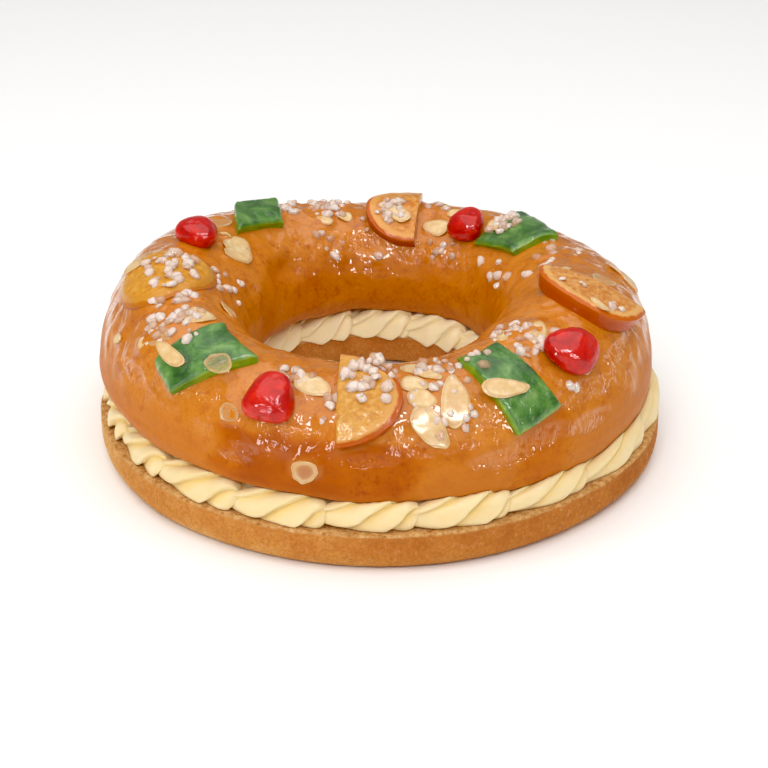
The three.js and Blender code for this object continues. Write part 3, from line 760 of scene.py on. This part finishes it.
def makeCherry(index, cherry, material):
    spot = spotAt(cherry["at"])
    wide, long, high = cherry["size"]
    round3, twisted = cherryLook["lobes"]
    dents = [(Vector(way).normalized(), deep, math.radians(width))
             for way, deep, width in cherry["dents"]]
    bm = ballMesh(cherryLook["across"], cherryLook["down"])

    def moved(vert):
        x, y, z = vert.co
        angle = math.atan2(y, x)
        swell = (1 + round3 * math.sin(3 * angle) + twisted * math.sin(2 * angle + 1) * z) / 2
        dented = 1 + cherryLook["pucker"] * noise.fractal(
            vert.co * cherryLook["puckers"] + Vector((index * 5, 0, 0)), 1, 2, 2)
        for way, deep, width in dents:
            dented -= deep * math.exp(-(vert.co.angle(way, 0) / width) ** 2)
        return laid(spot, cherry["turn"], cherryLook["hug"], x * wide * swell * dented,
                    y * long * swell * dented, high * (z / 2 * dented + cherryLook["lift"]))

    moveAll(bm, moved)
    return finishPiece(
        f"candiedCherry{index}", bm, material, (f"cherry_{index}",))


# Candied melon, cut in slabs: the corners' places on the dome, in order round each slab.
slabs = (
    {"corners": ((134, 79), (121.5, 87), (128, 116.5), (148, 110.5)), "thick": 4.5},
    {"corners": ((223, 97), (239, 82), (225, 31), (217, 42)), "thick": 4.5},
    {"corners": ((48, 72), (26, 83), (27, 122), (50, 127)), "thick": 4},
    {"corners": ((290, 83), (302, 87), (308, 30), (297, 21)), "thick": 4.5},
)
slabLook = {"cuts": 23, "below": 1.5, "rim": 1.5, "rimFrom": 0.8, "cutFrom": 0.95, "bevel": 1.1,
            "wavy": 0.9, "waves": 2.6, "sideWavy": 0.035, "sideWaves": 3}


def slabPoint(slab, x, y, lift):
    corners = slab["corners"]
    around, over = (math.radians(lerp(
        lerp(corners[0][k], corners[1][k], y + 0.5), lerp(corners[3][k], corners[2][k], y + 0.5),
        x + 0.5)) for k in (0, 1))
    return dome(around, over, lift)


def slabSurface(slab):
    long = (slabPoint(slab, 0.5, 0, 0) - slabPoint(slab, -0.5, 0, 0)).length
    wide = (slabPoint(slab, 0, 0.5, 0) - slabPoint(slab, 0, -0.5, 0)).length
    return lambda x, y, lift: slabPoint(slab, x / long, y / wide, slab["thick"] + lift)


def makeSlab(index, slab, material):
    bm = blockMesh(slabLook["cuts"])
    (cut,) = layersOf(bm, "cut")
    waves, sideWaves = slabLook["waves"], slabLook["sideWaves"]

    def moved(vert):
        x, y, z = vert.co
        reach = max(abs(x), abs(y)) * 2
        atEdge = smooth(slabLook["rimFrom"], 1, reach)
        # the cut edges' mask, for the painted light that glows through them
        vert[cut] = smooth(slabLook["cutFrom"], 1, reach)
        wave = noise.fractal(Vector((x * waves, y * waves, index * 3)), 1, 2, 4)
        side = 1 + slabLook["sideWavy"] * noise.noise(
            Vector((x * sideWaves, y * sideWaves, z * 2 + index)))
        lift = lerp(-slabLook["below"], slab["thick"] - slabLook["rim"] * atEdge ** 3
                    + slabLook["wavy"] * wave, z + 0.5)
        return slabPoint(slab, x * side, y * side, lift)

    moveAll(bm, moved)
    piece = finishPiece(
        f"melonSlab{index}", bm, material, (f"melon_slab_{index}",))
    addBevel(piece, slabLook["bevel"])
    return piece


def addBevel(piece, width):
    bevel = piece.modifiers.new("softEdges", "BEVEL")
    bevel.width = width * mm
    bevel.segments = 3
    bevel.limit_method = "ANGLE"
    bevel.angle_limit = math.radians(50)


# Candied orange: "at" is the middle of a half slice's cut side, or of a whole slice, and "size"
# is half of its length and how far it bulges from there. "droop" is which end hangs and how far,
# and "flat" where the round side is flatter, in degrees, and by what share.
slices = (
    {"at": (77, 103), "size": (18, 24), "thick": 6, "half": True, "turn": 276, "hug": 0.7,
     "flesh": "amber", "droop": (1, 3.2)},
    {"at": (345, 74), "size": (23, 23), "thick": 6, "half": True, "turn": 90, "hug": 0.5,
     "flesh": "brown"},
    {"at": (189, 84), "size": (22, 22), "thick": 3, "half": False, "turn": 0, "hug": 0.85,
     "flesh": "sunk", "rim": 2.4},
    {"at": (261, 60), "size": (21, 25), "thick": 4.5, "half": True, "turn": 276, "hug": 0.6,
     "flesh": "gold", "flat": (130, 0.14)},
)
sliceLook = {"cuts": 27, "below": 1.5, "rim": 0.9, "rimWide": 0.08, "rimAt": 0.99, "bevel": 0.7,
             "wallFrom": 0.999, "cutSide": (0.001, 0.98),  # shares that find the rind's faces
             "pithFrom": (0.89, 0.81), "wedges": 10, "pulp": 0.35, "sunk": 0.5, "rough": 0.25,
             "roughness": 5, "uneven": 0.015, "flatWide": 30}


def sliceSurface(one):
    spot = spotAt(one["at"])
    return lambda x, y, lift: laid(spot, one["turn"], one["hug"], x, y, one["thick"] + lift)


def makeSlice(index, one, material):
    bm = blockMesh(sliceLook["cuts"])
    rind, height = layersOf(bm, "rind", "height")
    spot = spotAt(one["at"])
    long, wide = one["size"]
    rim, rough = one.get("rim", sliceLook["rim"]), sliceLook["roughness"]
    cutDeep, cutLong = sliceLook["cutSide"]
    droopWay, droop = one.get("droop", (0, 0))
    flatWay, flatter = one.get("flat", (0, 0))
    flatPlace = {}

    def moved(vert):
        x, y, z = vert.co.x * 2, vert.co.y * 2, vert.co.z
        v = vert.co.y + 0.5 if one["half"] else y
        flat = Vector((x * math.sqrt(1 - v * v / 2), v * math.sqrt(1 - x * x / 2)))
        out, angle = flat.length, math.atan2(flat.y, flat.x)
        flatPlace[vert.index] = flat
        onCutSide = one["half"] and v < cutDeep and abs(x) < cutLong
        vert[rind] = float(max(abs(x), abs(v)) > sliceLook["wallFrom"] and not onCutSide)
        # height up the slice, for the rind's painted shade and light
        vert[height] = z + 0.5
        wedge = abs(math.sin(sliceLook["wedges"] / 2 * angle))
        inside = smooth(*sliceLook["pithFrom"], out)
        top = one["thick"] - rim * smooth(sliceLook["rimAt"] - sliceLook["rimWide"] * rim, 1, out)
        top += inside * (sliceLook["pulp"] * wedge ** 0.5 - sliceLook["sunk"])
        top += sliceLook["rough"] * noise.fractal(
            Vector((flat.x * rough, flat.y * rough, index * 4)), 1, 2, 3)
        top -= droop * max(0, flat.x * droopWay) ** 2
        away = apart(math.degrees(angle), flatWay) / sliceLook["flatWide"]
        uneven = (1 + sliceLook["uneven"] * math.sin(3 * angle + index)
                  - flatter * math.exp(-away ** 2) * out)
        return laid(spot, one["turn"], one["hug"], flat.x * long * uneven,
                    flat.y * wide * uneven, lerp(-sliceLook["below"], top, z + 0.5))

    bm.verts.index_update()
    moveAll(bm, moved)
    uv = bm.loops.layers.uv.new("slice")
    for face in bm.faces:
        for loop in face.loops:
            loop[uv].uv = flatPlace[loop.vert.index]
    piece = finishPiece(
        f"orangeSlice{index}", bm, material, (f"orange_slice_{index}",))
    addBevel(piece, sliceLook["bevel"])
    return piece


# The slices' colours: clear amber, browner, golden, and sunk in the glaze.
fleshes = {
    "amber": {"dark": "#b8641a", "mid": "#cc8432", "light": "#e0aa62", "pith": "#d89a50",
              "rind": "#ac4402", "rindTop": "#be5a06"},
    "brown": {"dark": "#b8682a", "mid": "#cc8840", "light": "#deaa6c", "pith": "#dea862",
              "rind": "#b04a02", "rindTop": "#c05e08"},
    "gold": {"dark": "#b87412", "mid": "#c68a2a", "light": "#d8a856", "pith": "#cc9244",
             "rind": "#a84202", "rindTop": "#b85404"},
    "sunk": {"dark": "#c07612", "mid": "#d08e24", "light": "#dfaa46", "pith": "#c98a2c",
             "rind": "#b06008", "rindTop": "#b86a10"},
}

toppingSurfaces = {f"melon{number}": slabSurface(slab) for number, slab in enumerate(slabs, 1)}
toppingSurfaces |= {f"orange{number}": sliceSurface(one) for number, one in enumerate(slices, 1)}


def surfaceRound(at, turn, on):  # the bread's surface, or a topping's, near "at"
    if on is None:
        spot, hug = spotAt(at), 0.9
        return lambda x, y, lift: laid(spot, turn, hug, x, y, lift)
    cosine, sine = math.cos(math.radians(turn)), math.sin(math.radians(turn))
    return lambda x, y, lift: toppingSurfaces[on](
        at[0] + x * cosine - y * sine, at[1] + x * sine + y * cosine, lift)


# Flaked almonds: each one's place, its length and width, and its turn. "on" names a topping, with
# the place then in millimetres on it. "toast" is how brown and "clear" how see-through it is.
almondLook = {"thick": 1.0, "taper": 0.3, "sunk": 0.2, "boxy": 0.35, "curl": 0.9, "curlLeast": 0.2,
              "ragged": 0.12, "raggedness": 1.2, "bumpy": 0.25, "bumps": 2, "toasted": (0.9, 0.4),
              "rimFrom": (0.95, 0.7), "rimClear": 0.6, "clear": 0.1,
              "across": 36, "down": 12, "seed": 5}
almonds = (
    ((147, 90), (14, 10), 0, {"clear": 0.7}),
    ((158, 124), (15, 11), -25, {}),
    ((154, 118), (14, 11), -17, {}),
    ((152.5, 106), (6, 5), -20, {}),
    ((214.5, 91), (13, 10), 50, {}),
    ((177.5, 57), (7, 6), 0, {}),
    ((173, 66), (14, 5), 60, {"clear": 0.7}),
    ((205, 128), (12, 9), -10, {"toast": 0.1}),
    ((212, 58), (12, 9), 29, {"clear": 0.6}),
    ((209, 47), (6, 5), 56, {}),
    ((254.5, 70), (17, 10), -22, {}),
    ((239, 34), (9, 7), -8, {"clear": 0.75}),
    ((199, 34), (7, 4), 30, {}),
    ((110, 114), (8, 5), -20, {}),
    ((102, 110), (7, 6), -7, {}),
    ((69.5, 114), (13, 9), 5, {}),
    ((4, -11), (8, 5), 60, {"on": "melon3"}),
    ((66, 94), (7, 6), 31, {}),
    ((358, 100), (11, 6), 60, {}),
    ((354, 68), (11, 9), -76, {"clear": 0.6}),
    ((6, 48), (17, 8), 67, {"toast": 0.3}),
    ((316, 82), (14, 9), 27, {"toast": 0.2}),
    ((308.5, 97), (9, 6), 60, {}),
    ((280, 84), (20, 7), -48, {"toast": 0.1}),
    ((278, 70), (12, 8), -28, {}),
    ((286, 54), (23, 11), 80, {"toast": 0.25}),
    ((280, 36), (20, 11), -53, {"toast": 0.1}),
    ((279, 57), (12, 8), -22, {}),
    ((256, 5), (11, 9), 25, {"toast": 0.9}),
    ((-4, 10), (16, 7), 62, {"on": "orange1"}),
    ((-5.5, 19), (9, 4), -7, {"on": "orange2"}),
    ((-11, -13), (9, 7), -63, {"on": "orange3"}),
    ((9, -6.5), (21, 5.5), 282, {"on": "melon2"}),
    ((-3, 11), (11, 8), 83, {"clear": 0.8, "on": "melon2"}),
    ((2, -5.5), (18, 7), 66, {"on": "melon4"}),
)


def makeAlmonds(material):
    draw, look = random.Random(almondLook["seed"]), almondLook
    bm = bmesh.new()
    for place, (long, wide), turn, flake in almonds:
        surface = surfaceRound(place, turn, flake.get("on"))
        curl = draw.uniform(look["curlLeast"], 1) * look["curl"]
        phase = draw.uniform(0, fullTurn)
        ball = ballMesh(look["across"], look["down"])
        toast, solid = layersOf(ball, "toast", "solid")
        uv = ball.loops.layers.uv.new("flake")
        for face in ball.faces:
            for loop in face.loops:
                loop[uv].uv = loop.vert.co.xy
        for vert in ball.verts:
            x, y, z = vert.co
            out, angle = math.hypot(x, y), math.atan2(y, x)
            vert[toast] = flake.get("toast", 0) * smooth(*look["toasted"], out)
            vert[solid] = 1 - flake.get("clear", look["clear"]) * lerp(
                look["rimClear"], 1, smooth(*look["rimFrom"], out))
            broken = noise.fractal(
                Vector((math.cos(angle), math.sin(angle), phase)) * look["raggedness"], 1, 2, 4)
            spread = (1 + look["ragged"] * broken) / 2
            lift = look["thick"] * (0.5 * signedPower(z, look["boxy"]) + 0.5 - look["sunk"])
            lift += curl * out * out * (0.5 + 0.5 * math.cos(2 * angle + phase))
            lift += look["bumpy"] * noise.noise(
                Vector((x * look["bumps"], y * look["bumps"], phase)))
            vert.co = surface(
                x * long * spread, -y * wide * spread * (1 - look["taper"] * x), lift)
        joinMesh(bm, ball)
    return finishPiece("flakedAlmonds", bm, material)


# Pearl sugar lies in drifts: a drift's middle, its half width both ways, its number of grains and
# the topping that it lies on, with its middle then in millimetres there.
sugarLook = {"small": 1.1, "large": 2.7, "facets": 6, "facet": 0.74, "sunk": 0.15, "tilt": 0.5,
             "stretch": ((0.85, 1.3), (0.8, 1.1), (0.6, 0.9)), "rough": 0.25, "roughness": 1.3,
             "soakedPower": 2, "seed": 41}
drifts = (
    ((110, 93), (19, 10), 44, None),
    ((207, 84), (14, 11), 36, None),
    ((211, 60), (9, 8), 22, None),
    ((311, 84), (10, 15), 40, None),
    ((316, 70), (8, 8), 12, None),
    ((271, 84), (7, 8), 8, None),
    ((284, 62), (13, 20), 40, None),
    ((8, 113), (9, 8), 9, None),
    ((20, 88), (22, 9), 14, None),
    ((249, 77), (9, 4), 13, None),
    ((258.5, 43), (1.2, 1), 2, None),
    ((260, 57), (4, 4), 6, None),
    ((318, 36), (12, 6), 5, None),
    ((68, 136), (12, 6), 8, None),
    ((73, 84), (6, 5), 7, None),
    ((95, 130), (28, 14), 11, None),
    ((182, 132), (12, 10), 10, None),
    ((30, 140), (14, 8), 7, None),
    ((2, 3), (16, 14), 34, "orange3"),
    ((-2, 12), (8, 7), 24, "orange1"),
    ((0, 12), (14, 5), 6, "orange2"),
    ((-4, 12), (13, 10), 34, "orange4"),
    ((1, -8), (7, 6), 22, "melon3"),
    ((-12, -5), (5, 6), 5, "melon4"),
    ((-1, -9), (3, 3), 3, "melon2"),
)


def makeSugar(material):
    draw, look = random.Random(sugarLook["seed"]), sugarLook
    tilt = look["tilt"]
    bm = bmesh.new()
    (soaked,) = layersOf(bm, "soaked")
    for place, (halfAcross, halfAlong), grains, topping in drifts:
        surface = surfaceRound(place, 0, topping)
        for _ in range(grains):
            angle, out = draw.uniform(0, fullTurn), math.sqrt(draw.random())
            size = lerp(look["small"], look["large"], draw.random())
            x, y = halfAcross * out * math.cos(angle), halfAlong * out * math.sin(angle)
            middle = surface(x, y, size * look["sunk"])
            up = (surface(x, y, 1) - surface(x, y, 0)).normalized()
            stretch = [lerp(least, most, draw.random()) for least, most in look["stretch"]]
            turned = up.to_track_quat("Z", "Y").to_matrix() @ Euler((
                draw.uniform(-tilt, tilt), draw.uniform(-tilt, tilt),
                draw.uniform(0, fullTurn))).to_matrix()
            seedPlace = Vector((draw.uniform(0, 50), 0, 0))
            wet = draw.random() ** look["soakedPower"]
            facets = [Vector(draw.gauss(0, 1) for _ in range(3)).normalized()
                      for _ in range(look["facets"])]
            for vert in bmesh.ops.create_icosphere(bm, subdivisions=2, radius=1)["verts"]:
                rough = 1 + look["rough"] * noise.noise(vert.co * look["roughness"] + seedPlace)
                vert[soaked] = wet
                for facet in facets:
                    vert.co -= facet * max(0, vert.co.dot(facet) - look["facet"])
                local = Vector(vert.co[k] * stretch[k] for k in range(3)) * size * rough
                vert.co = middle + turned @ local
    return finishPiece("pearlSugar", bm, material)


print("toppings")
cherryRed, melonGreen = makeCandiedCherry(), makeCandiedMelon()
orangeFleshes = {name: makeCandiedOrange("orangeCandied" + name.capitalize(), flesh)
                 for name, flesh in fleshes.items()}
toppings = [makeCherry(number, cherry, cherryRed) for number, cherry in enumerate(cherries, 1)]
toppings += [makeSlab(number, slab, melonGreen) for number, slab in enumerate(slabs, 1)]
toppings += [makeSlice(number, one, orangeFleshes[one["flesh"]])
             for number, one in enumerate(slices, 1)]
toppings += [makeAlmonds(makeFlakedAlmond()), makeSugar(makePearlSugar())]

print("bread and cream")
makeBase(makeBakedBread())
makeCream(makePipedCream())
makeCrust(makeGlazedCrust(), toppings)


# Camera: where the photograph was taken from, worked out from the ring's outline in it.
photo = {"elevation": 28.09, "distance": 1105.64, "focal": 2565, "size": 768,
         "originPixel": (379.74, 430.7), "sensorMm": 36}


def makeCamera():
    tilt = math.radians(photo["elevation"])
    back = Vector((0, -math.cos(tilt), math.sin(tilt)))
    up, right = Vector((0, math.sin(tilt), math.cos(tilt))), Vector((1, 0, 0))
    middle = photo["size"] / 2
    aim = (-back * photo["focal"] + right * (middle - photo["originPixel"][0])
           + up * (photo["originPixel"][1] - middle))
    lens = bpy.data.cameras.new("photoCamera")
    lens.sensor_width = photo["sensorMm"]
    lens.lens = photo["focal"] / photo["size"] * photo["sensorMm"]
    camera = bpy.data.objects.new("photoCamera", lens)
    camera.location = back * photo["distance"] * mm
    camera.rotation_euler = aim.to_track_quat("-Z", "Y").to_euler()
    bpy.context.scene.collection.objects.link(camera)
    bpy.context.scene.camera = camera


# Studio: one very large softbox overhead that reaches well forwards, so its reflection covers the
# top of the glaze; a weaker one in front; one that lights the cream in the hole, and weak ones
# left and right, that aren't mirrored; small bright ones that are only mirrored, for the glints;
# and a pale floor under a white sky. Each has its place, what it aims at and its size, in metres,
# its watts, and what it does.
lights = (
    ("softboxOver", (0, -0.1, 1.1), (0, -0.1, 0), (1.7, 1.8), 15, "both"),
    ("softboxFront", (-0.1, -1.65, 1.0), (0, 0, 0), (1.8, 0.9), 1.4, "both"),
    ("softboxHole", (-0.15, -1.15, 1.0), (0, 0, 0), (0.6, 0.3), 5.6, "litOnly"),
    ("softboxLeft", (-1.3, -0.5, 0.5), (0, 0, 0), (0.5, 0.6), 4.6, "litOnly"),
    ("softboxRight", (1.3, -0.5, 0.5), (0, 0, 0), (0.4, 0.5), 2.2, "litOnly"),
    ("glintLeft", (-0.38, -0.8, 0.95), (0, 0, 0), (0.24, 0.24), 5, "mirroredOnly"),
    ("glintRight", (0.34, -0.8, 0.95), (0, 0, 0), (0.4, 0.22), 8, "mirroredOnly"),
    ("glintLow", (-0.75, -1.1, 0.2), (0, 0, 0), (0.16, 0.3), 3, "mirroredOnly"),
    ("glintLowRight", (0.7, -1.1, 0.35), (0, 0, 0), (0.16, 0.3), 4, "mirroredOnly"),
)
studio = {
    "floorHalf": 4, "sky": "#ffffff", "skyStrength": 0.25,
    "blackLevel": 0.01,  # deepens the colours as the photograph does
}


def makeStudio():
    for name, place, aim, size, watts, use in lights:
        data = bpy.data.lights.new(name, "AREA")
        data.shape = "RECTANGLE"
        data.size, data.size_y = size
        data.energy = watts
        lamp = bpy.data.objects.new(name, data)
        lamp.location = place
        lamp.rotation_euler = (Vector(aim) - lamp.location).to_track_quat("-Z", "Y").to_euler()
        lamp.visible_glossy = use != "litOnly"
        lamp.visible_diffuse = use != "mirroredOnly"
        bpy.context.scene.collection.objects.link(lamp)
    world = bpy.data.worlds.new("studioSky")
    world.use_nodes = True
    background = world.node_tree.nodes["Background"]
    setInputs(world.node_tree, background, {
        "Color": studio["sky"], "Strength": studio["skyStrength"]})
    bpy.context.scene.world = world
    bm = bmesh.new()
    bmesh.ops.create_grid(bm, x_segments=1, y_segments=1, size=studio["floorHalf"])
    mesh = bpy.data.meshes.new("paleFloor")
    bm.to_mesh(mesh)
    bm.free()
    mesh.materials.append(makePaper())
    floor = bpy.data.objects.new("paleFloor", mesh)
    bpy.context.scene.collection.objects.link(floor)
    view = bpy.context.scene.view_settings
    view.view_transform = "Standard"
    view.use_curve_mapping = True
    view.curve_mapping.black_level = [studio["blackLevel"]] * 3
    view.curve_mapping.update()


print("camera and lights")
makeCamera()
makeStudio()
